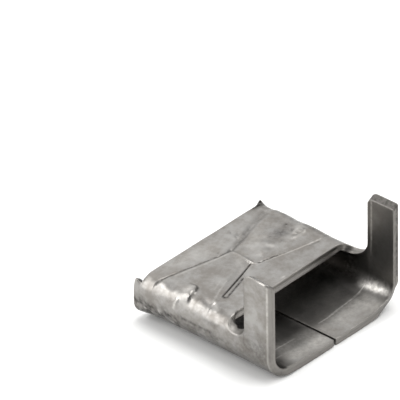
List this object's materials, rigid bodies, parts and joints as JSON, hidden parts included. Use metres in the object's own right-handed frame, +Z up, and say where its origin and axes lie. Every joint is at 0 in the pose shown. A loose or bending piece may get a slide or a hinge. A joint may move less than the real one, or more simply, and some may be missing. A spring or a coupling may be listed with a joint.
{
  "type": "strapping buckle",
  "caption": "Strapping buckle folded from one steel strip: a flat sleeve for a metal band, with upright ears at its front that bend over the turned-back band end",
  "frame": {"origin": "middle of the face that the buckle rests on, at half the length of its side walls", "axes": "+X across the sleeve to the right seen from the ears, +Y along the band's path from the ears to the rear, +Z up from the seam wall"},
  "size_m": [0.024, 0.0228, 0.0151],
  "materials": {
    "stainless_strip": "dull satin mill finish with pressing marks, small dents and scratches"
  },
  "bodies": {
    "root": {"buckle": "stainless_strip"}
  },
  "joints": []
}
